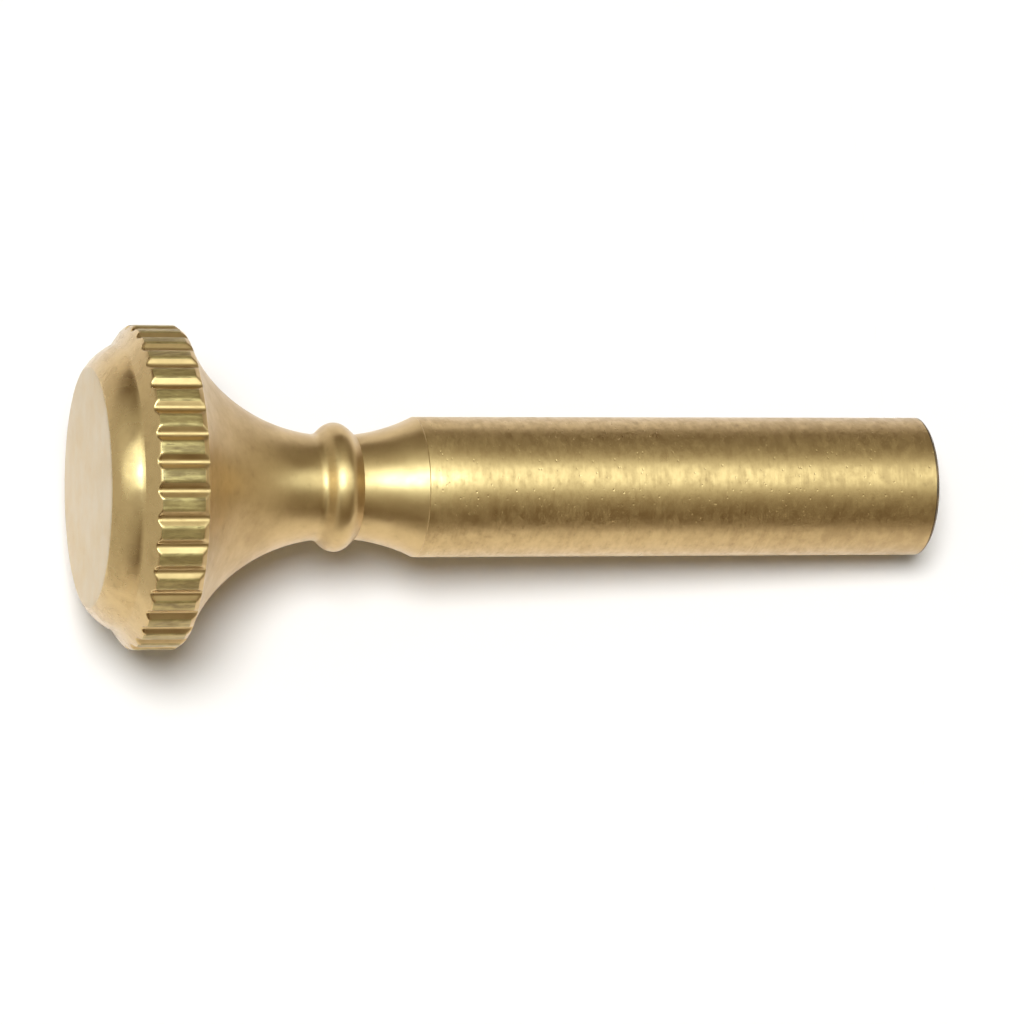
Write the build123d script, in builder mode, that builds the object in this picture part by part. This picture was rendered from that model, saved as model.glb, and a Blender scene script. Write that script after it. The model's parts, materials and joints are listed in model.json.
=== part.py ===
"""A small turned brass knob: knurled round head, flared neck with a bead, long plain shank.

The knob stands on the end of its shank. The shank's end is at height zero, the turning axis
is Z and the round front face of the head is uppermost. All lengths are in millimetres.
"""

import math
import os

from build123d import *

# Heights along the turning axis, each piece on top of the one before
shank_length = 21.2
taper_length = 3.24
flare_length = 6.39
rim_width = 1.82
ring_height = 0.52
boss_height = 1.12

# Diameters and widths across the axis
shank_diameter = 5.56
shank_end_chamfer = 0.12
waist_diameter = 4.06
rim_diameter = 12.7
ring_width = 0.71
shoulder_width = 0.98

# Straight bevel that carries the flare on to the back of the rim
back_bevel_width = 0.3
back_bevel_height = 0.12

# Bead round the waist, with a rounded crest and sloping sides
bead_height = 0.52
bead_crest_radius = 0.67
bead_flank_angle = 42

# Broken edges of the rim and crown of the boss's shoulder
rim_front_round = 0.26
rim_back_chamfer = 0.16
shoulder_radius = 2.4

# Straight knurl: wide flat lands with shallow grooves between them
groove_count = 36
groove_depth = 0.19
groove_floor_width = 0.13
groove_flank_angle = 34
groove_overrun = 0.5

# Blind hole in the shank's end, at the tapping size for a number 4-36 thread
tap_drill_diameter = 2.184
tap_drill_depth = 9.5
drill_point_angle = 118
countersink_diameter = 3.0
countersink_angle = 90

# Places worked out from the sizes above
shank_radius = shank_diameter / 2
waist_radius = waist_diameter / 2
rim_radius = rim_diameter / 2
boss_radius = rim_radius - ring_width
face_radius = boss_radius - shoulder_width
bead_level = shank_length + taper_length
rim_back_level = bead_level + flare_length
rim_front_level = rim_back_level + rim_width
boss_level = rim_front_level + ring_height
face_level = boss_level + boss_height
bead_centre_radius = waist_radius + bead_height - bead_crest_radius
bead_flank = math.radians(bead_flank_angle)
bead_apex_radius = bead_centre_radius + bead_crest_radius / math.cos(bead_flank)
bead_half_base = bead_apex_radius / math.tan(bead_flank)
groove_floor_radius = rim_radius - groove_depth
groove_cut_height = 2 * groove_depth
groove_mouth_width = groove_floor_width + 2 * groove_cut_height / math.tan(math.radians(groove_flank_angle))
tap_drill_radius = tap_drill_diameter / 2
countersink_radius = countersink_diameter / 2
countersink_depth = (countersink_radius - tap_drill_radius) / math.tan(math.radians(countersink_angle / 2))
drill_point_depth = tap_drill_radius / math.tan(math.radians(drill_point_angle / 2))

os.makedirs("parts", exist_ok=True)

with BuildPart() as knob:
    # Turned body: shank, concave taper, concave flare, rim, bevelled ring and boss
    with BuildSketch(Plane.XZ) as body_section:
        with BuildLine():
            Polyline(
                (0, face_level),
                (0, 0),
                (shank_radius - shank_end_chamfer, 0),
                (shank_radius, shank_end_chamfer),
                (shank_radius, shank_length),
            )
            TangentArc(
                (waist_radius, bead_level),
                (shank_radius, shank_length),
                tangent=(0, -1),
            )
            TangentArc(
                (waist_radius, bead_level),
                (rim_radius - back_bevel_width, rim_back_level - back_bevel_height),
                tangent=(0, 1),
            )
            Polyline(
                (rim_radius - back_bevel_width, rim_back_level - back_bevel_height),
                (rim_radius, rim_back_level),
                (rim_radius, rim_front_level),
                (boss_radius, boss_level),
            )
            RadiusArc(
                (boss_radius, boss_level),
                (face_radius, face_level),
                -shoulder_radius,
            )
            Line((face_radius, face_level), (0, face_level))
        make_face()
        rim_edges = body_section.vertices().sort_by(Axis.X)[-2:].sort_by(Axis.Y)
        chamfer(rim_edges[0], rim_back_chamfer)
        rim_edges = body_section.vertices().sort_by(Axis.X)[-2:].sort_by(Axis.Y)
        fillet(rim_edges[-1], rim_front_round)
    revolve(axis=Axis.Z)

    # Bead at the narrowest place of the neck
    with BuildSketch(Plane.XZ) as bead_section:
        with BuildLine():
            Polyline(
                (0, bead_level - bead_half_base),
                (bead_apex_radius, bead_level),
                (0, bead_level + bead_half_base),
                close=True,
            )
        make_face()
        fillet(bead_section.vertices().sort_by(Axis.X)[-1], bead_crest_radius)
    revolve(axis=Axis.Z)

    # Knurl grooves, cut straight across the rim and out at both of its edges
    with BuildSketch(Plane.XY.offset(rim_back_level - groove_overrun)):
        with PolarLocations(groove_floor_radius, groove_count):
            Trapezoid(
                groove_mouth_width,
                groove_cut_height,
                groove_flank_angle,
                rotation=90,
                align=(Align.CENTER, Align.MAX),
            )
    extrude(amount=rim_width + 2 * groove_overrun, mode=Mode.SUBTRACT)

    # Tapping hole with its drill point and countersunk mouth
    with BuildSketch(Plane.XZ):
        with BuildLine():
            Polyline(
                (0, 0),
                (countersink_radius, 0),
                (tap_drill_radius, countersink_depth),
                (tap_drill_radius, tap_drill_depth),
                (0, tap_drill_depth + drill_point_depth),
                close=True,
            )
        make_face()
    revolve(axis=Axis.Z, mode=Mode.SUBTRACT)

knob.part.label = "knob"
export_step(knob.part, "parts/knob.step")
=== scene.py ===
"""Looks for a small turned brass knob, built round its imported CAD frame.

The knob stands on the end of its shank, with its turning axis on Z. The photograph shows it lying,
so the camera is turned on its side: the head is at the left of the picture and +X is up.
"""

import json
import math

import bmesh
import bpy
from bpy.props import FloatProperty, FloatVectorProperty, IntProperty, PointerProperty
from bpy.types import Operator, Panel, PropertyGroup
from mathutils import Matrix, Quaternion, Vector


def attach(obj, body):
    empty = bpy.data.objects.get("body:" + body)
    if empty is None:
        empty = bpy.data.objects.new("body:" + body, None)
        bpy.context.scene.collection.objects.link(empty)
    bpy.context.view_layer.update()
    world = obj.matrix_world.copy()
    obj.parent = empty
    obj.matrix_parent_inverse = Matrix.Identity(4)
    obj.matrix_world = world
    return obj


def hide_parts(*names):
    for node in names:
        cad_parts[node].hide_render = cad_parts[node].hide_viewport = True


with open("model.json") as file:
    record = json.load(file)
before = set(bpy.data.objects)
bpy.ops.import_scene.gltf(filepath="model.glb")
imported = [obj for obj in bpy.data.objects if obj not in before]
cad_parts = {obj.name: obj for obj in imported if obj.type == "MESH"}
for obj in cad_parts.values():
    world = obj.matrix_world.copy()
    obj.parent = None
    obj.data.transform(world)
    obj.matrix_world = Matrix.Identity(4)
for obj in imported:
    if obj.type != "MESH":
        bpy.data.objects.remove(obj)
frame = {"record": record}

bl_info = {
    "name": "Turned Brass Knob",
    "version": (1, 0, 0),
    "blender": (4, 5, 0),
    "location": "3D View > Sidebar > Knob",
    "description": "Builds a knurled brass knob, its finish and its studio stage",
    "category": "Object",
}

NODE = "knob"
PIECE = "turned_knob"
MOUNTS = {mount["name"]: mount for mount in frame["record"]["mounts"]}
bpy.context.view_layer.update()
MM = 0.001
NEAR = 0.001 * MM


def mount_radius(name):
    """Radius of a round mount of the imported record, in metres."""
    return MOUNTS[name]["dims"]["r_mm"] * MM


def length(name, description, default):
    """A length property in metres, written here in millimetres."""
    return FloatProperty(
        name=name,
        description=description,
        default=default * MM,
        min=0.0,
        precision=5,
        unit="LENGTH",
    )


def angle(name, description, default):
    """An angle property in radians, written here in degrees."""
    return FloatProperty(
        name=name,
        description=description,
        default=math.radians(default),
        subtype="ANGLE",
    )


def power(name, description, default):
    """A lamp's power in watts."""
    return FloatProperty(
        name=name,
        description=description,
        default=default,
        min=0.0,
        unit="POWER",
    )


def colour(name, description, default):
    """A linear colour property."""
    return FloatVectorProperty(
        name=name,
        description=description,
        default=default,
        size=3,
        min=0.0,
        max=1.0,
        subtype="COLOR",
    )


def share(name, description, default):
    """A share or a roughness, from 0 to 1."""
    return FloatProperty(
        name=name,
        description=description,
        default=default,
        min=0.0,
        max=1.0,
        subtype="FACTOR",
    )


class KnobSizes(PropertyGroup):
    """Sizes of the turned body, its knurl and its hole."""

    shank_length: length("Shank length", "From the shank's end to the taper", 21.2)
    taper_length: length("Taper length", "From the shank to the middle of the bead", 3.24)
    flare_length: length("Flare length", "From the bead to the back of the rim", 6.39)
    rim_width: length("Rim width", "Width of the knurled rim", 1.82)
    ring_height: length("Ring height", "Height of the bevelled ring in front of the rim", 0.52)
    boss_height: length("Boss height", "Height of the crowned shoulder", 1.12)
    waist_diameter: length("Waist diameter", "Neck diameter under the bead", 4.06)
    rim_diameter: length("Rim diameter", "Diameter over the knurl's lands", 12.7)
    ring_width: length("Ring width", "Width of the bevelled ring", 0.71)
    shoulder_width: length("Shoulder width", "Width of the crowned shoulder", 0.98)
    shoulder_radius: length("Shoulder radius", "Radius of the shoulder's crown", 2.4)
    bead_height: length("Bead height", "How far the bead stands above the waist", 0.52)
    bead_crest_radius: length("Bead crest radius", "Radius of the bead's rounded crest", 0.67)
    back_bevel_width: length("Back bevel width", "Width of the bevel behind the rim", 0.3)
    back_bevel_height: length("Back bevel height", "Height of the bevel behind the rim", 0.12)
    rim_front_round: length("Rim front round", "Radius of the rim's front edge", 0.26)
    rim_back_chamfer: length("Rim back chamfer", "Chamfer of the rim's back edge", 0.16)
    shank_end_chamfer: length("Shank end chamfer", "Chamfer of the shank's end", 0.12)
    # painted dark reflection: up to this height the chamfer at the shank's end is painted near-black for
    # the dark surroundings it would reflect; it is not tarnish
    painted_edge_height: length("Dark edge", "Height of the tarnished edge at the shank's end", 0.15)
    edge_break: length("Edge break", "Rounding of the crisp turned edges", 0.035)
    face_break: length("Face edge break", "Rounding of the worn edge round the front face", 0.1)
    groove_depth: length("Groove depth", "Depth of a knurl groove", 0.19)
    groove_floor_width: length("Groove floor width", "Width of a groove's floor", 0.13)
    countersink_diameter: length("Countersink diameter", "Mouth of the hole", 3.0)
    hole_depth: length("Hole depth", "Depth of the hole at its full width", 9.5)
    thread_diameter: length("Thread diameter", "Diameter over the thread's roots", 2.84)
    thread_pitch: length("Thread pitch", "Rise of the thread for each turn", 0.7056)
    thread_length: length("Thread length", "Depth at which the thread has run out", 8.4)
    bead_cove: length("Bead cove", "Radius of the cove between the bead and the flare", 0.4)
    junction_width: length("Junction line width", "Width of the tool line between shank and taper", 0.08)
    junction_depth: length("Junction line depth", "Depth of that tool line", 0.02)
    bead_flank_angle: angle("Bead flank angle", "Slope of the bead's sides from the axis", 42)
    groove_flank_angle: angle("Groove flank angle", "Slope of a groove's flank from the land", 34)
    drill_point_angle: angle("Drill point angle", "Full angle of the hole's pointed end", 118)
    groove_count: IntProperty(
        name="Groove count",
        description="Grooves round the rim",
        default=36,
        min=3,
    )
    steps_per_groove: IntProperty(
        name="Steps per groove",
        description="Facets round the knob for each groove",
        default=16,
        min=4,
    )


class BrassFinish(PropertyGroup):
    """Colours and gloss of the brass."""

    bright: colour("Bright brass", "Clean turned brass", (0.64, 0.45, 0.20))
    aged: colour("Aged brass", "Brass dulled by handling", (0.52, 0.35, 0.145))
    stain: colour("Stain", "Darkest spots of tarnish", (0.26, 0.16, 0.06))
    pale: colour("Pale brass", "Dry, dusty brass of the front face", (0.60, 0.485, 0.32))
    worn: colour("Worn brass", "Olive brass of the knurl's lands", (0.55, 0.42, 0.17))
    dull: colour("Dull brass", "Tarnished streaks on the knurl's lands", (0.36, 0.26, 0.10))
    # painted dark reflection: this near-black colour stands in for what the chamfer at the shank's end
    # reflects; it is not soot
    painted_dark_reflection: colour("Soot", "Blackened edge of the shank's end", (0.14, 0.10, 0.06))
    film: share("Film", "Share of the thin clear film left by handling", 0.4)
    film_gloss: share("Film roughness", "Roughness of that film", 0.3)
    shank_gloss: share("Shank roughness", "Roughness of the turned shank", 0.37)
    neck_gloss: share("Neck roughness", "Roughness of the taper and bead", 0.335)
    flare_gloss: share("Flare roughness", "Roughness of the flare behind the rim", 0.46)
    groove_gloss: share("Groove roughness", "Roughness of the knurl's grooves", 0.35)
    flank_gloss: share("Bead flank roughness", "Roughness of the bead's side towards the head", 0.42)
    land_gloss: share("Land roughness", "Roughness of the knurl's lands", 0.58)
    shoulder_gloss: share("Shoulder roughness", "Roughness of the ring and shoulder", 0.235)
    face_gloss: share("Face roughness", "Roughness of the front face", 0.45)
    hole_gloss: share("Hole roughness", "Roughness inside the hole", 0.5)


class StageSetup(PropertyGroup):
    """Camera, table, floor and light."""

    camera_azimuth: angle(
        "Camera azimuth",
        "Camera's turn round the knob from the -Y side towards +X",
        1.2,
    )
    camera_elevation: angle("Camera elevation", "Camera's height above square-on", 15.8)
    camera_roll: angle("Camera roll", "Lean of the knob's axis in the picture", 0.17)
    camera_distance: length("Camera distance", "From the lens to the knob's axis", 219.0)
    camera_lens: FloatProperty(
        name="Lens",
        description="Focal length in millimetres",
        default=193.4,
        unit="CAMERA",
    )
    aim_height: length("Aim height", "Place on the axis at the middle of the picture", 17.1)
    aim_drop: length("Aim drop", "How far the picture's middle lies below the axis", 1.0)
    table_turn: angle("Table turn", "Turn of the table's upright from the -Y side towards +X", 18)
    table_reach: length("Table reach", "How far the table reaches towards the head", 46.0)
    table_drop: length("Table drop", "How far the table reaches below the shank's end", 7.0)
    table_half: length("Table half width", "Half the width of the table", 400.0)
    floor_half: length("Floor half width", "Half the width of the floor", 600.0)
    opening_width: length("Opening width", "Width of the opening in the floor", 24.0)
    opening_front: length("Opening front", "How far the opening reaches in front of the axis", 14.0)
    lamp_height: angle("Lamp height", "Angle of the soft lamp's middle above square-on", 10)
    lamp_turn: angle("Lamp turn", "Turn of the soft lamp from the -Y side towards +X", 20.5)
    lamp_roll: angle("Lamp roll", "Lean of the soft lamp's upper end towards +X", 3)
    lamp_tint: colour("Lamp tint", "Colour of the soft lamp's light", (0.79, 0.955, 1.0))
    lamp_power: power("Lamp power", "Power of the soft lamp", 1.28)
    lamp_distance: length("Lamp distance", "From the knob to the soft lamp", 280.0)
    lamp_width: length("Lamp width", "Width of the soft lamp", 205.0)
    lamp_length: length("Lamp length", "Length of the soft lamp", 1400.0)
    core_height: angle("Core height", "Angle of the lamp's bright core above square-on", 26)
    core_turn: angle("Core turn", "Turn of the lamp's bright core from the -Y side towards +X", 14.5)
    core_tint: colour("Core tint", "Colour of the bright core's light", (0.66, 0.87, 1.0))
    core_power: power("Core power", "Power of the lamp's bright core", 0.305)
    core_width: length("Core width", "Width of the lamp's bright core", 95.0)
    core_length: length("Core length", "Length of the lamp's bright core", 260.0)
    side_turn: angle("Side turn", "Turn of the dim side lamp from the -Y side towards +X", 76)
    side_power: power("Side power", "Power of the dim side lamp", 0.05)
    side_width: length("Side width", "Width of the dim side lamp", 150.0)
    paper_light: FloatProperty(
        name="Paper light",
        description="Light that falls on the table and floor alone",
        default=3.1,
        min=0.0,
    )
    paper_softness: angle(
        "Paper softness",
        "Angle that the paper's light comes from, which softens the shadow",
        24,
    )
    paper_light_turn: angle(
        "Paper light turn",
        "Turn of the paper's light from the table's upright, which shifts the shadow",
        -1,
    )
    paper_light_rise: angle(
        "Paper light rise",
        "Lean of the paper's light towards the head, which shifts the shadow along the knob",
        9,
    )
    floor_catch: FloatProperty(
        name="Floor catch",
        description="How much more of that wide light the floor catches than its slant gives",
        default=1.02,
        min=0.0,
    )
    paper: colour("Paper", "Colour of the table and floor", (0.9, 0.9, 0.9))


class ProfilePen:
    """Draws half of a turned section as a chain of edges in the XZ plane."""

    def __init__(self, radius, height):
        self.bm = bmesh.new()
        self.tip = self.bm.verts.new((radius, 0.0, height))
        self.corners = {}

    def line(self, radius, height, steps=1):
        """Draws a straight line from the tip, in even steps."""
        start = self.tip.co.copy()
        end = Vector((radius, 0.0, height))
        for step in range(1, steps + 1):
            self.tip = bmesh.ops.extrude_vert_indiv(self.bm, verts=[self.tip])["verts"][0]
            self.tip.co = start.lerp(end, step / steps)

    def arc(self, centre_radius, centre_height, sweep, steps):
        """Swings the tip about a centre; a positive sweep turns from X towards Z."""
        swung = bmesh.ops.spin(
            self.bm,
            geom=[self.tip],
            cent=(centre_radius, 0.0, centre_height),
            axis=(0.0, 1.0, 0.0),
            angle=-sweep,
            steps=steps,
        )
        self.tip = next(item for item in swung["geom_last"] if isinstance(item, bmesh.types.BMVert))

    def mark_corner(self, width):
        """The tip is a turned edge, to be rounded by that width."""
        self.corners[self.tip] = width

    def break_corners(self):
        """Rounds the marked edges, once the whole section is drawn."""
        for corner, width in self.corners.items():
            bmesh.ops.bevel(
                self.bm,
                geom=[corner],
                offset=width,
                offset_type="OFFSET",
                affect="VERTICES",
                segments=3,
                profile=0.5,
                material=-1,
            )


def cove_radius(height, rise):
    """Radius of an arc that leaves the axis direction and rises that much over that height."""
    return (height * height + rise * rise) / (2 * rise)


def bead_foot(waist, cove, apex, slope, fillet=0.0):
    """Centre of the fillet between the bead's straight side and a cove's arc, from the waist's middle.

    The centre is given as radius and height. With no fillet it is the place where the two meet.
    """
    square = 1 + slope * slope
    reach = apex + fillet * math.sqrt(square) - waist - cove
    inner = cove - fillet
    height = (reach * slope + math.sqrt(square * inner * inner - reach * reach)) / square
    return apex + fillet * math.sqrt(square) - height * slope, height


def draw_body(size):
    """Half section from the shank's end, up the outside, to the middle of the front face."""
    shank = mount_radius("shank")
    waist = size.waist_diameter / 2
    rim = size.rim_diameter / 2
    bead_level = size.shank_length + size.taper_length
    rim_back = bead_level + size.flare_length
    rim_front = rim_back + size.rim_width
    boss_level = rim_front + size.ring_height
    face_level = boss_level + size.boss_height
    boss = rim - size.ring_width
    face = boss - size.shoulder_width

    pen = ProfilePen(shank - size.shank_end_chamfer, 0.0)
    pen.line(shank, size.shank_end_chamfer)
    pen.mark_corner(size.edge_break)
    pen.line(shank, size.painted_edge_height)
    pen.line(shank, size.shank_length - size.junction_width, steps=8)
    pen.line(shank - size.junction_depth, size.shank_length - size.junction_width / 2)
    pen.line(shank, size.shank_length)

    taper_cove = cove_radius(size.taper_length, shank - waist)
    flare_rise = rim - size.back_bevel_width - waist
    flare_height = size.flare_length - size.back_bevel_height
    flare_cove = cove_radius(flare_height, flare_rise)
    crest = size.bead_crest_radius
    bead_centre = waist + size.bead_height - crest
    apex = bead_centre + crest / math.cos(size.bead_flank_angle)
    slope = math.tan(size.bead_flank_angle)
    lower_foot = bead_foot(waist, taper_cove, apex, slope)[1]
    taper_sweep = math.asin(size.taper_length / taper_cove) - math.asin(lower_foot / taper_cove)
    pen.arc(waist + taper_cove, bead_level, -taper_sweep, 14)
    crest_foot = bead_centre + crest * math.cos(size.bead_flank_angle)
    pen.line(crest_foot, bead_level - crest * math.sin(size.bead_flank_angle), steps=4)
    pen.arc(bead_centre, bead_level, 2 * size.bead_flank_angle, 14)
    fillet = size.bead_cove
    fillet_radius, fillet_height = bead_foot(waist, flare_cove, apex, slope, fillet)
    fillet_end = math.asin(fillet_height / (flare_cove - fillet))
    fillet_start_radius = fillet_radius - fillet * math.cos(size.bead_flank_angle)
    fillet_start_height = fillet_height - fillet * math.sin(size.bead_flank_angle)
    pen.line(fillet_start_radius, bead_level + fillet_start_height, steps=3)
    pen.arc(fillet_radius, bead_level + fillet_height, -size.bead_flank_angle - fillet_end, 12)
    pen.arc(waist + flare_cove, bead_level, fillet_end - math.asin(flare_height / flare_cove), 30)

    bevel = Vector((size.back_bevel_width, size.back_bevel_height)).normalized()
    bevel *= size.rim_back_chamfer
    pen.line(rim - bevel.x, rim_back - bevel.y, steps=4)
    pen.mark_corner(size.edge_break)
    pen.line(rim, rim_back + size.rim_back_chamfer, steps=3)
    ring_slope = math.atan2(size.ring_width, size.ring_height)
    round_start = rim_front - size.rim_front_round * math.tan(ring_slope / 2)
    pen.line(rim, round_start, steps=6)
    pen.arc(rim - size.rim_front_round, round_start, ring_slope, 6)
    pen.line(boss, boss_level, steps=16)

    chord = Vector((face - boss, size.boss_height))
    inset = math.sqrt(size.shoulder_radius**2 - chord.length_squared / 4)
    inward = Vector((-chord.y, chord.x)).normalized()
    centre = Vector((boss, boss_level)) + chord / 2 + inward * inset
    crown_sweep = 2 * math.asin(chord.length / 2 / size.shoulder_radius)
    pen.arc(centre.x, centre.y, crown_sweep, 10)
    pen.mark_corner(size.face_break)
    pen.line(0.0, face_level, steps=10)
    pen.break_corners()
    return pen.bm


def draw_thread(size):
    """Half section of one turn of the thread, which starts well below the shank's end."""
    wall = mount_radius("tapped_hole")
    root = size.thread_diameter / 2
    flank = (root - wall) * math.tan(math.radians(30))
    crest = (size.thread_pitch - 2 * flank) * 2 / 3
    root_flat = (size.thread_pitch - 2 * flank) / 3
    level = -2 * size.thread_pitch
    pen = ProfilePen(wall, level)
    pen.line(wall, level + crest, steps=4)
    pen.line(root, level + crest + flank, steps=4)
    pen.line(root, level + crest + flank + root_flat, steps=2)
    pen.line(wall, level + size.thread_pitch, steps=4)
    return pen.bm


def bore_hole(size, steps):
    """The tapped hole, with its countersunk mouth open at the shank's end and a drill point inside."""
    bm = draw_thread(size)
    turns = math.ceil(size.hole_depth / size.thread_pitch) + 4
    bmesh.ops.spin(
        bm,
        geom=bm.verts[:] + bm.edges[:],
        cent=(0.0, 0.0, 0.0),
        axis=(0.0, 0.0, 1.0),
        dvec=(0.0, 0.0, size.thread_pitch / steps),
        angle=2 * math.pi * turns,
        steps=steps * turns,
    )
    bmesh.ops.remove_doubles(bm, verts=bm.verts[:], dist=NEAR)
    for level, clear_below in ((0.0, True), (size.thread_length, False)):
        bmesh.ops.bisect_plane(
            bm,
            geom=bm.verts[:] + bm.edges[:] + bm.faces[:],
            plane_co=(0.0, 0.0, level),
            plane_no=(0.0, 0.0, 1.0),
            clear_inner=clear_below,
            clear_outer=not clear_below,
        )
    mouth = size.countersink_diameter / 2
    wall = mount_radius("tapped_hole")
    for vert in bm.verts:
        radius = vert.co.xy.length
        run_out = wall + (size.thread_length - vert.co.z) / 2
        cut = max(min(radius, run_out), mouth - vert.co.z)
        vert.co.x *= cut / radius
        vert.co.y *= cut / radius
    inner_rim = [
        edge
        for edge in bm.edges
        if edge.is_boundary and all(vert.co.z > wall for vert in edge.verts)
    ]
    deep = bmesh.ops.extrude_edge_only(bm, edges=inner_rim)["geom"]
    for item in deep:
        if isinstance(item, bmesh.types.BMVert):
            item.co.z = size.hole_depth
    deep_rim = [item for item in deep if isinstance(item, bmesh.types.BMEdge)]
    point = bmesh.ops.extrude_edge_only(bm, edges=deep_rim)["geom"]
    bmesh.ops.pointmerge(
        bm,
        verts=[item for item in point if isinstance(item, bmesh.types.BMVert)],
        merge_co=(0.0, 0.0, size.hole_depth + wall / math.tan(size.drill_point_angle / 2)),
    )
    return bm


def turn(bm, steps):
    """Turns a drawn section once round the Z axis and closes it."""
    bmesh.ops.spin(
        bm,
        geom=bm.verts[:] + bm.edges[:],
        cent=(0.0, 0.0, 0.0),
        axis=(0.0, 0.0, 1.0),
        angle=2 * math.pi,
        steps=steps,
        use_merge=True,
    )
    bmesh.ops.remove_doubles(bm, verts=bm.verts[:], dist=NEAR)


def cut_knurl(bm, size):
    """Sinks the grooves into the turned rim by drawing its surface in to the groove's section."""
    floor = size.rim_diameter / 2 - size.groove_depth
    half_floor = size.groove_floor_width / 2
    slope = math.tan(size.groove_flank_angle)
    pitch = 2 * math.pi / size.groove_count
    for vert in bm.verts:
        radius = vert.co.xy.length
        if radius < floor:
            continue
        bearing = math.atan2(vert.co.y, vert.co.x)
        aside = abs((bearing + pitch / 2) % pitch - pitch / 2)
        on_floor = floor / math.cos(aside)
        on_flank = (floor - half_floor * slope) / (math.cos(aside) - math.sin(aside) * slope)
        sunk = min(radius, max(on_floor, on_flank))
        vert.co.x *= sunk / radius
        vert.co.y *= sunk / radius


def end_loop(bm, radius):
    """Edges of the open circle at the shank's end that has that radius."""

    def on_circle(vert):
        return abs(vert.co.z) < NEAR and abs(vert.co.xy.length - radius) < 10 * NEAR

    return [edge for edge in bm.edges if edge.is_boundary and all(map(on_circle, edge.verts))]


def add_mesh(bm, other):
    """Joins a second bmesh to the first."""
    mesh = bpy.data.meshes.new("joined")
    other.to_mesh(mesh)
    other.free()
    bm.from_mesh(mesh)
    bpy.data.meshes.remove(mesh)


def link(tree, source, target):
    """Joins an output socket to an input socket."""
    tree.links.new(source, target)


def add_node(tree, kind, **settings):
    """A shader node with its properties set."""
    node = tree.nodes.new(kind)
    for name, value in settings.items():
        setattr(node, name, value)
    return node


def add_math(tree, operation, first, second):
    """A Math node; an operand is a socket or a number."""
    node = add_node(tree, "ShaderNodeMath", operation=operation)
    for socket, value in zip(node.inputs, (first, second)):
        if isinstance(value, (int, float)):
            socket.default_value = value
        else:
            link(tree, value, socket)
    return node.outputs["Value"]


def add_noise(tree, vector, scale, detail, roughness=0.5):
    """Value of a noise texture."""
    node = add_node(tree, "ShaderNodeTexNoise")
    node.inputs["Scale"].default_value = scale
    node.inputs["Detail"].default_value = detail
    node.inputs["Roughness"].default_value = roughness
    link(tree, vector, node.inputs["Vector"])
    return node.outputs["Fac"]


def add_range(tree, value, from_low, from_high, to_low, to_high, curve="SMOOTHSTEP"):
    """Maps one range of values on to another and holds it there."""
    node = add_node(tree, "ShaderNodeMapRange", interpolation_type=curve)
    for name, number in (
        ("From Min", from_low),
        ("From Max", from_high),
        ("To Min", to_low),
        ("To Max", to_high),
    ):
        node.inputs[name].default_value = number
    link(tree, value, node.inputs["Value"])
    return node.outputs["Result"]


def add_blend(tree, factor, first, second):
    """Mixes two colours, each a socket or a linear colour."""
    node = add_node(tree, "ShaderNodeMix", data_type="RGBA")
    link(tree, factor, node.inputs["Factor"])
    for socket, value in ((node.inputs[6], first), (node.inputs[7], second)):
        if isinstance(value, bpy.types.NodeSocket):
            link(tree, value, socket)
        else:
            socket.default_value = (*value, 1.0)
    return node.outputs[2]


def knob_pattern(tree, spacing):
    """Place on the knob, its half section and its height, in millimetres packed by a spacing."""
    across, along = spacing
    place = add_node(tree, "ShaderNodeTexCoord")
    in_mm = add_node(tree, "ShaderNodeMapping")
    in_mm.inputs["Scale"].default_value = (across / MM, across / MM, along / MM)
    link(tree, place.outputs["Object"], in_mm.inputs["Vector"])
    spot = in_mm.outputs["Vector"]
    flat = add_node(tree, "ShaderNodeVectorMath", operation="MULTIPLY")
    flat.inputs[1].default_value = (1.0, 1.0, 0.0)
    link(tree, spot, flat.inputs[0])
    reach = add_node(tree, "ShaderNodeVectorMath", operation="LENGTH")
    link(tree, flat.outputs["Vector"], reach.inputs[0])
    parts = add_node(tree, "ShaderNodeSeparateXYZ")
    link(tree, spot, parts.inputs["Vector"])
    section = add_node(tree, "ShaderNodeCombineXYZ")
    link(tree, reach.outputs["Value"], section.inputs["X"])
    link(tree, parts.outputs["Z"], section.inputs["Y"])
    return spot, section.outputs["Vector"], parts.outputs["Z"]


def add_dents(tree, spot, marks, depth):
    """Normal of a surface with fine tool marks and scattered dents of a depth in millimetres."""
    cells = add_node(tree, "ShaderNodeTexVoronoi")
    cells.inputs["Scale"].default_value = 2.4
    link(tree, spot, cells.inputs["Vector"])
    chance = add_node(tree, "ShaderNodeSeparateColor")
    link(tree, cells.outputs["Color"], chance.inputs["Color"])
    chosen = add_math(tree, "GREATER_THAN", chance.outputs["Red"], 0.3)
    hollow = add_range(tree, cells.outputs["Distance"], 0.03, 0.2, 1.0, 0.0)
    dent = add_math(tree, "MULTIPLY", hollow, chosen)
    knocked = add_math(tree, "MULTIPLY", dent, -depth)
    cut = add_math(tree, "MULTIPLY", marks, depth / 2)
    relief = add_node(tree, "ShaderNodeBump")
    relief.inputs["Distance"].default_value = MM
    link(tree, add_math(tree, "ADD", cut, knocked), relief.inputs["Height"])
    return relief.outputs["Normal"]


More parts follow.
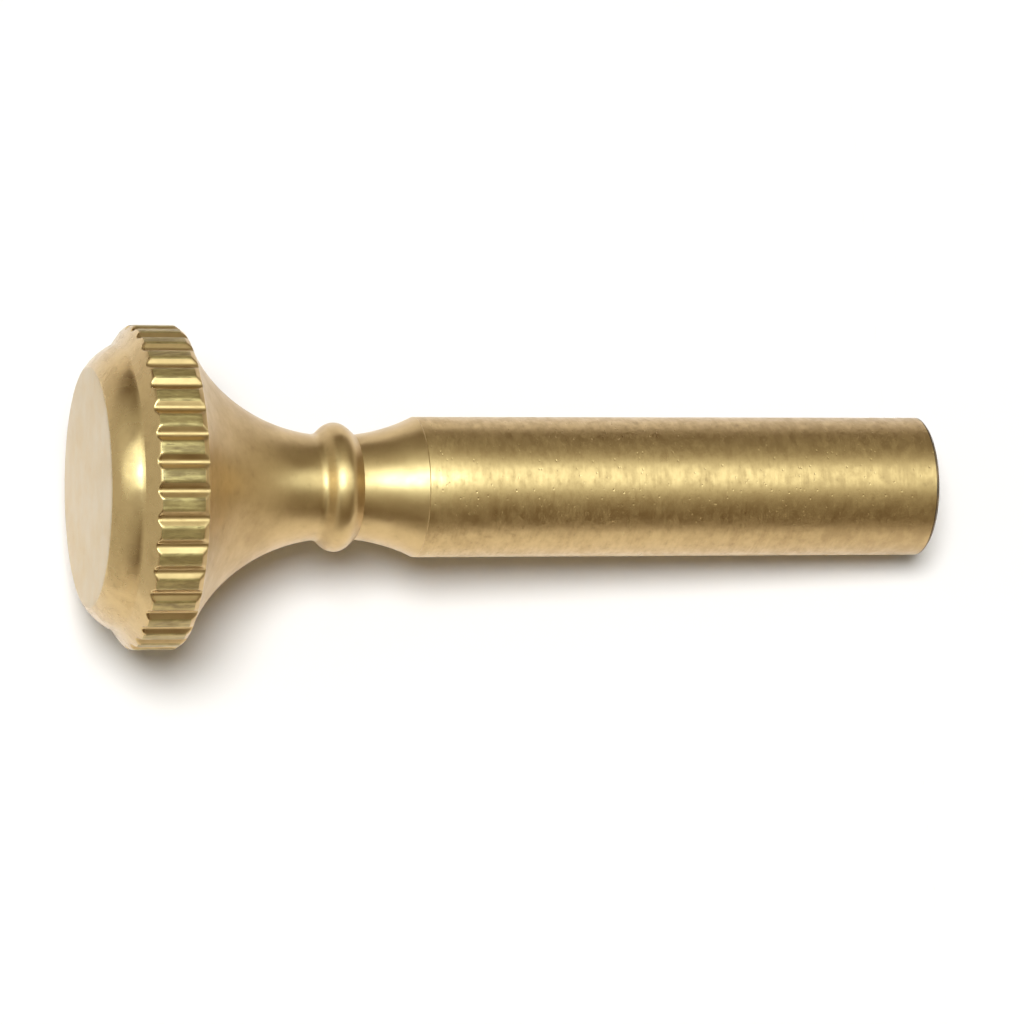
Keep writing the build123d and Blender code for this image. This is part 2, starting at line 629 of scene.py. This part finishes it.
def brass(
    name, finish, tints, roughness, rings, streaks, mottle, dents=0.0, spacing=(1.0, 1.0), darkening=None
):
    """Turned brass: rings left by the tool, dulled patches, small dents, faint stains and a film.

    tints are the clean, aged and stained colours. rings is the tool marks' count to the millimetre
    and streaks their strength, mottle is the strength of the patches and dents is a depth in
    millimetres. spacing packs the whole pattern closer across the axis and along it. darkening is a
    pair of heights in millimetres between which the brass grows darker, with the roughness that it
    gains.
    """
    clean, aged, stain = tints
    material = bpy.data.materials.new(name)
    material.use_nodes = True
    tree = material.node_tree
    tree.nodes.clear()
    output = add_node(tree, "ShaderNodeOutputMaterial")
    shader = add_node(tree, "ShaderNodeBsdfPrincipled")
    shader.inputs["Metallic"].default_value = 1.0
    shader.inputs["Coat Weight"].default_value = finish.film
    shader.inputs["Coat Roughness"].default_value = finish.film_gloss
    link(tree, shader.outputs["BSDF"], output.inputs["Surface"])

    spot, section, height = knob_pattern(tree, spacing)
    lines = add_noise(tree, section, rings, 4.0, 0.65)
    fading = add_range(tree, add_noise(tree, spot, 0.8, 3.0), 0.35, 0.65, 0.15, 1.0)
    marks = add_math(tree, "MULTIPLY", add_math(tree, "SUBTRACT", lines, 0.5), fading)
    clouds = add_noise(tree, spot, 1.2, 4.0, 0.6)
    freckles = add_noise(tree, spot, 3.0, 2.0, 0.45)

    dulled = add_range(tree, clouds, 0.34, 0.66, 0.0, mottle)
    freckled = add_range(tree, freckles, 0.38, 0.68, 0.0, mottle * 0.5)
    streaked = add_range(tree, marks, -0.2, 0.2, 0.0, streaks)
    tone = add_math(tree, "ADD", add_math(tree, "ADD", dulled, freckled), streaked)
    stained = add_math(
        tree,
        "MULTIPLY",
        add_range(tree, freckles, 0.55, 0.8, 0.0, mottle * 0.6),
        add_range(tree, clouds, 0.45, 0.65, 0.0, 1.0),
    )
    patchy = add_range(tree, clouds, 0.3, 0.7, -0.15 * mottle, 0.2 * mottle)
    uneven = add_math(tree, "ADD", add_math(tree, "MULTIPLY", marks, streaks), patchy)
    rough = add_math(tree, "ADD", uneven, roughness)
    rough = add_math(tree, "ADD", rough, add_math(tree, "MULTIPLY", stained, 0.2))
    if darkening:
        low, high, gain = darkening
        along = spacing[1]
        darkened = add_range(tree, height, low * along, high * along, 0.0, 1.0)
        tone = add_math(tree, "ADD", tone, add_math(tree, "MULTIPLY", darkened, 0.45))
        rough = add_math(tree, "ADD", rough, add_math(tree, "MULTIPLY", darkened, gain))

    toned = add_blend(tree, tone, clean, aged)
    link(tree, add_blend(tree, stained, toned, stain), shader.inputs["Base Color"])
    link(tree, rough, shader.inputs["Roughness"])
    if dents:
        link(tree, add_dents(tree, spot, marks, dents), shader.inputs["Normal"])
    return material


def knob_finishes(finish):
    """The brass of each place on the knob, in the order of the mesh's material slots."""
    bright, aged, stain = tuple(finish.bright), tuple(finish.aged), tuple(finish.stain)
    turned = (bright, aged, stain)
    dry = (tuple(finish.pale), bright, aged)
    worn = (tuple(finish.worn), tuple(finish.dull), stain)
    # painted shade: the hole's inside is given darker brass than the shank, as shade in the recess
    dark = (aged, stain, stain)
    # painted dark reflection for the band at the shank's end
    painted_reflection_tints = (stain, tuple(finish.painted_dark_reflection), tuple(finish.painted_dark_reflection))
    fine, coarse, grained = (1.4, 2.2), (0.6, 0.6), (3.0, 0.7)
    # the shank grows darker and a little rougher towards its end, the flare darker and rougher towards
    # the rim
    darker_to_end = (13.0, 1.0, 0.03)
    darker_to_flare = (26.0, 28.6, finish.flare_gloss - finish.neck_gloss)
    places = (
        # tints, roughness, rings, streaks, mottle, dents, spacing and darkening of each place
        ("shank_brass", turned, finish.shank_gloss, 4.0, 0.32, 0.5, 0.01, fine, darker_to_end),
        ("neck_brass", turned, finish.neck_gloss, 5.0, 0.06, 0.32, 0.0, (1.0, 1.0), darker_to_flare),
        ("flank_brass", turned, finish.flank_gloss, 5.0, 0.06, 0.3),
        ("groove_brass", turned, finish.groove_gloss, 4.0, 0.06, 0.4),
        ("land_brass", worn, finish.land_gloss, 5.0, 0.1, 0.9, 0.015, grained),
        ("shoulder_brass", turned, finish.shoulder_gloss, 4.0, 0.06, 0.4),
        ("face_brass", dry, finish.face_gloss, 3.0, 0.04, 0.3, 0.0, coarse),
        ("hole_brass", dark, finish.hole_gloss, 5.0, 0.2, 0.6, 0.004),
        ("edge_brass", painted_reflection_tints, finish.hole_gloss, 5.0, 0.1, 0.8),
    )
    return [brass(name, finish, *marks) for name, *marks in places]


class KNOB_OT_turned_body(Operator):
    """Turns the knob's body, knurls its rim, bores its shank and finishes its brass"""

    bl_idname = "knob.turned_body"
    bl_label = "Turned Body"

    def execute(self, context):
        size = context.scene.knob_sizes
        finish = context.scene.brass_finish
        steps = size.groove_count * size.steps_per_groove
        bm = draw_body(size)
        turn(bm, steps)
        cut_knurl(bm, size)
        add_mesh(bm, bore_hole(size, 64))
        outer = end_loop(bm, mount_radius("shank") - size.shank_end_chamfer)
        inner = end_loop(bm, size.countersink_diameter / 2)
        if not outer or not inner:
            raise RuntimeError("the shank's end has no open circles to join")
        bmesh.ops.bridge_loops(bm, edges=outer + inner)
        bmesh.ops.recalc_face_normals(bm, faces=bm.faces[:])
        self.sort_finishes(bm, size)

        mesh = bpy.data.meshes.new(PIECE)
        bm.to_mesh(mesh)
        bm.free()
        piece = bpy.data.objects.new(PIECE, mesh)
        context.scene.collection.objects.link(piece)
        for material in knob_finishes(finish):
            mesh.materials.append(material)
        settle = piece.modifiers.new("even_normals", "WEIGHTED_NORMAL")
        settle.keep_sharp = True
        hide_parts(NODE)
        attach(piece, "root")
        return {"FINISHED"}

    def sort_finishes(self, bm, size):
        """Gives each face the finish of its place on the knob, with smooth shading."""
        shank, neck, flank, groove, land, shoulder, face, hole, edge = range(9)
        rim = size.rim_diameter / 2
        bead_level = size.shank_length + size.taper_length
        flare_end = bead_level + size.flare_length - size.back_bevel_height
        ring_start = flare_end + size.back_bevel_height + size.rim_width
        face_level = ring_start + size.ring_height + size.boss_height
        mouth = size.countersink_diameter / 2
        for bm_face in bm.faces:
            bm_face.smooth = True
            middle = bm_face.calc_center_median()
            reach = middle.xy.length
            # the hole's inside takes the darker brass of painted shade
            if reach < mouth and middle.z < size.shank_length:
                bm_face.material_index = hole
            # the band at the shank's end takes the painted dark reflection
            elif 10 * NEAR < middle.z < size.painted_edge_height:
                bm_face.material_index = edge
            elif middle.z < size.shank_length:
                bm_face.material_index = shank
            elif 0.5 < (middle.z - bead_level) / size.bead_crest_radius < 1.1:
                bm_face.material_index = flank
            elif middle.z < flare_end:
                bm_face.material_index = neck
            elif middle.z > face_level - size.face_break / 4:
                bm_face.material_index = face
            elif middle.z > ring_start:
                bm_face.material_index = shoulder
            elif reach > rim - size.groove_depth / 8:
                bm_face.material_index = land
            else:
                bm_face.material_index = groove
        for bm_edge in bm.edges:
            if len(bm_edge.link_faces) == 2 and bm_edge.calc_face_angle() > math.radians(40):
                bm_edge.smooth = False


def level_direction(turned):
    """Level direction at an angle from the -Y side towards +X."""
    return Vector((math.sin(turned), -math.cos(turned), 0.0))


def paper_material(name, tint):
    """Matt white paper that keeps shadows and can't be seen from behind."""
    material = bpy.data.materials.new(name)
    material.use_nodes = True
    tree = material.node_tree
    tree.nodes.clear()
    output = add_node(tree, "ShaderNodeOutputMaterial")
    matt = add_node(tree, "ShaderNodeBsdfDiffuse")
    matt.inputs["Color"].default_value = (*tint, 1.0)
    side = add_node(tree, "ShaderNodeNewGeometry")
    clear = add_node(tree, "ShaderNodeBsdfTransparent")
    choose = add_node(tree, "ShaderNodeMixShader")
    link(tree, side.outputs["Backfacing"], choose.inputs["Fac"])
    link(tree, matt.outputs["BSDF"], choose.inputs[1])
    link(tree, clear.outputs["BSDF"], choose.inputs[2])
    link(tree, choose.outputs["Shader"], output.inputs["Surface"])
    return material


class KNOB_OT_stage(Operator):
    """Sets the floor, the table behind the knob, the soft light and the camera"""

    bl_idname = "knob.stage"
    bl_label = "Studio Stage"

    def execute(self, context):
        scene = context.scene
        setup = scene.stage_setup
        scene.view_settings.view_transform = "Standard"
        level = level_direction(setup.table_turn)
        upright, touch = self.table_plane(scene, level)
        floor = self.lay_floor(scene, setup)
        table = self.lay_table(scene, setup, upright, touch)
        risen = Matrix.Rotation(setup.paper_light_rise, 3, level.cross((0.0, 0.0, 1.0))) @ upright
        toward = Matrix.Rotation(setup.paper_light_turn, 3, "Z") @ risen
        self.light_paper(scene, setup, table, toward, 1.0)
        self.light_paper(scene, setup, floor, toward, toward.z * setup.floor_catch)
        self.light_room(scene, upright)
        lamp = self.hang_lamp(
            scene, setup, "soft_lamp", setup.lamp_turn, setup.lamp_height, setup.lamp_roll
        )
        lamp.size, lamp.size_y = setup.lamp_width, setup.lamp_length
        lamp.energy, lamp.color = setup.lamp_power, setup.lamp_tint
        core = self.hang_lamp(scene, setup, "lamp_core", setup.core_turn, setup.core_height)
        core.size, core.size_y = setup.core_width, setup.core_length
        core.energy, core.color = setup.core_power, setup.core_tint
        side = self.hang_lamp(scene, setup, "side_lamp", setup.side_turn, setup.lamp_height)
        side.size, side.size_y = setup.side_width, setup.lamp_length
        side.energy, side.color = setup.side_power, setup.lamp_tint
        self.place_camera(scene, setup)
        return {"FINISHED"}

    def sheet(self, scene, name, half_size, place, material, opening=None):
        """A square sheet of paper at a place; an opening shows more paper below."""
        bm = bmesh.new()
        bmesh.ops.create_grid(bm, x_segments=1, y_segments=1, size=half_size, matrix=place)
        if opening:
            low, high, depth = opening
            self.cut_box(bm, low, high)
            below = Matrix.Translation((0.0, 0.0, -depth)) @ place
            bmesh.ops.create_grid(bm, x_segments=1, y_segments=1, size=half_size, matrix=below)
        mesh = bpy.data.meshes.new(name)
        bm.to_mesh(mesh)
        bm.free()
        mesh.materials.append(material)
        paper = bpy.data.objects.new(name, mesh)
        scene.collection.objects.link(paper)
        return paper

    def cut_box(self, bm, low, high):
        """Cuts a box out of a level sheet, from a low corner to a high one."""
        for corner in (low, high):
            for normal in ((1.0, 0.0, 0.0), (0.0, 1.0, 0.0)):
                geometry = bm.verts[:] + bm.edges[:] + bm.faces[:]
                bmesh.ops.bisect_plane(bm, geom=geometry, plane_co=(*corner, 0.0), plane_no=normal)
        middle = (Vector(low) + Vector(high)) / 2
        inside = [face for face in bm.faces if (face.calc_center_median().xy - middle).length < MM]
        bmesh.ops.delete(bm, geom=inside, context="FACES")

    def lay_floor(self, scene, setup):
        """The floor, left out of the reflections of a knob that lies.

        It is open in front of the knob, so that the camera sees the table behind the knob run on
        past the shank's end, with the knob's shadow on it, and more paper lies below the opening.
        """
        material = paper_material("floor_paper", tuple(setup.paper))
        low = (-setup.opening_width / 2, -setup.opening_front)
        high = (setup.opening_width / 2, mount_radius("shank"))
        opening = (low, high, setup.table_drop + MM)
        floor = self.sheet(scene, "floor", setup.floor_half, Matrix.Identity(4), material, opening)
        floor.visible_glossy = False
        floor.visible_diffuse = False
        floor.visible_shadow = False
        return floor

    def table_plane(self, scene, level):
        """Upright of the table that the photographed knob lies on, and a point on the table."""
        size = scene.knob_sizes
        shank = mount_radius("shank")
        rim = size.rim_diameter / 2
        rim_level = size.shank_length + size.taper_length + size.flare_length
        lean = math.atan2(rim - shank, rim_level)
        upright = level * math.cos(lean) + Vector((0.0, 0.0, math.sin(lean)))
        return upright, -level * shank

    def lay_table(self, scene, setup, upright, touch):
        """The table behind the knob, trimmed to a band that keeps the knob's shadow."""
        half_height = (setup.table_reach + setup.table_drop) / 2
        trimmed = Matrix.Diagonal((1.0, half_height / setup.table_half, 1.0, 1.0))
        raised = Matrix.Translation((0.0, setup.table_reach - half_height, 0.0))
        turned = upright.to_track_quat("Z", "Y").to_matrix().to_4x4()
        place = Matrix.Translation(touch) @ turned @ raised @ trimmed
        material = paper_material("table_paper", tuple(setup.paper))
        table = self.sheet(scene, "table", setup.table_half, place, material)
        table.visible_shadow = False
        table.visible_diffuse = False
        return table

    def light_paper(self, scene, setup, paper, toward, slant):
        """A soft light for one sheet of paper, which keeps the knob's shadow.

        slant is the share of the light that a sheet lying askew to it catches, which is made up for.
        """
        name = paper.name + "_light"
        lamp = bpy.data.lights.new(name, "SUN")
        lamp.energy = setup.paper_light / slant
        lamp.angle = setup.paper_softness
        lamp_object = bpy.data.objects.new(name, lamp)
        scene.collection.objects.link(lamp_object)
        lamp_object.rotation_mode = "QUATERNION"
        lamp_object.rotation_quaternion = toward.to_track_quat("Z", "Y")
        self.light_only(lamp_object, paper)

    def light_room(self, scene, upright):
        """A plain room: a pale table below, a dark skyline round it and a dim ceiling."""
        world = bpy.data.worlds.new("studio_room")
        scene.world = world
        world.use_nodes = True
        tree = world.node_tree
        tree.nodes.clear()
        output = add_node(tree, "ShaderNodeOutputWorld")
        room = add_node(tree, "ShaderNodeBackground")
        link(tree, room.outputs["Background"], output.inputs["Surface"])
        toward = add_node(tree, "ShaderNodeTexCoord")
        rise = add_node(tree, "ShaderNodeVectorMath", operation="DOT_PRODUCT")
        rise.inputs[1].default_value = upright
        link(tree, toward.outputs["Generated"], rise.inputs[0])
        skyline = add_node(tree, "ShaderNodeValToRGB")
        skyline.color_ramp.interpolation = "EASE"
        stops = (
            (-1.0, (0.89, 0.87, 0.83)),
            (-0.14, (0.89, 0.86, 0.81)),
            (0.0, (0.155, 0.108, 0.06)),
            (0.50, (0.20, 0.15, 0.09)),
            (0.85, (0.52, 0.48, 0.38)),
            (1.0, (0.66, 0.63, 0.55)),
        )
        while len(skyline.color_ramp.elements) < len(stops):
            skyline.color_ramp.elements.new(0.5)
        for element, (level, tint) in zip(skyline.color_ramp.elements, stops):
            element.position = (level + 1) / 2
            element.color = (*tint, 1.0)
        lifted = add_range(tree, rise.outputs["Value"], -1.0, 1.0, 0.0, 1.0, curve="LINEAR")
        link(tree, lifted, skyline.inputs["Fac"])
        parts = add_node(tree, "ShaderNodeSeparateXYZ")
        link(tree, toward.outputs["Generated"], parts.inputs["Vector"])
        ahead = add_range(tree, parts.outputs["Z"], 0.45, 0.95, 0.0, 1.0)
        tint = add_blend(tree, ahead, skyline.outputs["Color"], (0.66, 0.66, 0.61))
        below = add_range(tree, parts.outputs["Z"], -0.7, -0.95, 0.0, 1.0)
        link(tree, add_blend(tree, below, tint, (0.62, 0.58, 0.50)), room.inputs["Color"])
        ray = add_node(tree, "ShaderNodeLightPath")
        dimmed = add_range(tree, ray.outputs["Is Diffuse Ray"], 0.0, 1.0, 1.0, 0.42)
        link(tree, dimmed, room.inputs["Strength"])

    def hang_lamp(self, scene, setup, name, turned, height, roll=0.0):
        """An oval lamp over the table, in line with the knob, for the knob alone."""
        lamp = bpy.data.lights.new(name, "AREA")
        lamp.shape = "ELLIPSE"
        lamp_object = bpy.data.objects.new(name, lamp)
        scene.collection.objects.link(lamp_object)
        lamp_object.visible_camera = False
        toward = level_direction(turned) * math.cos(height)
        toward.z = math.sin(height)
        lamp_object.location = Vector((0.0, 0.0, setup.aim_height)) + toward * setup.lamp_distance
        lamp_object.rotation_mode = "QUATERNION"
        lamp_object.rotation_quaternion = Quaternion(toward, -roll) @ toward.to_track_quat("Z", "Y")
        self.light_only(lamp_object, bpy.data.objects[PIECE])
        return lamp

    def light_only(self, lamp_object, thing):
        """Keeps a lamp's light to one thing."""
        lit = bpy.data.collections.new(lamp_object.name)
        lit.objects.link(thing)
        lamp_object.light_linking.receiver_collection = lit

    def place_camera(self, scene, setup):
        """Looks square across the knob from a little in front of it, with the head at the left."""
        level = level_direction(setup.camera_azimuth)
        back = level * math.cos(setup.camera_elevation)
        back.z = math.sin(setup.camera_elevation)
        right = -(Vector((0.0, 0.0, 1.0)) - back * back.z).normalized()
        up = back.cross(right)
        turned = Matrix.Rotation(-setup.camera_roll, 3, back)
        right, up = turned @ right, turned @ up
        camera = bpy.data.cameras.new("camera")
        camera.lens = setup.camera_lens
        camera.sensor_width = 36.0
        camera.clip_start = 0.01
        camera.clip_end = 10.0
        camera_object = bpy.data.objects.new("camera", camera)
        scene.collection.objects.link(camera_object)
        aim = Vector((0.0, 0.0, setup.aim_height)) - up * setup.aim_drop
        camera_object.location = aim + back * setup.camera_distance
        camera_object.rotation_mode = "QUATERNION"
        camera_object.rotation_quaternion = Matrix((right, up, back)).transposed().to_quaternion()
        scene.camera = camera_object


class KNOB_PT_sidebar(Panel):
    """Lists the knob's operators and settings"""

    bl_idname = "KNOB_PT_sidebar"
    bl_label = "Turned Brass Knob"
    bl_space_type = "VIEW_3D"
    bl_region_type = "UI"
    bl_category = "Knob"

    def draw(self, context):
        scene = context.scene
        for settings in (scene.knob_sizes, scene.brass_finish, scene.stage_setup):
            box = self.layout.box()
            for name in settings.__annotations__:
                box.prop(settings, name)
        self.layout.operator(KNOB_OT_turned_body.bl_idname)
        self.layout.operator(KNOB_OT_stage.bl_idname)


CLASSES = (
    KnobSizes,
    BrassFinish,
    StageSetup,
    KNOB_OT_turned_body,
    KNOB_OT_stage,
    KNOB_PT_sidebar,
)


def register():
    for cls in CLASSES:
        bpy.utils.register_class(cls)
    bpy.types.Scene.knob_sizes = PointerProperty(type=KnobSizes)
    bpy.types.Scene.brass_finish = PointerProperty(type=BrassFinish)
    bpy.types.Scene.stage_setup = PointerProperty(type=StageSetup)


def unregister():
    del bpy.types.Scene.stage_setup
    del bpy.types.Scene.brass_finish
    del bpy.types.Scene.knob_sizes
    for cls in reversed(CLASSES):
        bpy.utils.unregister_class(cls)


def main():
    register()
    bpy.ops.knob.turned_body()
    bpy.ops.knob.stage()
    bpy.context.view_layer.update()


if __name__ == "__main__":
    main()
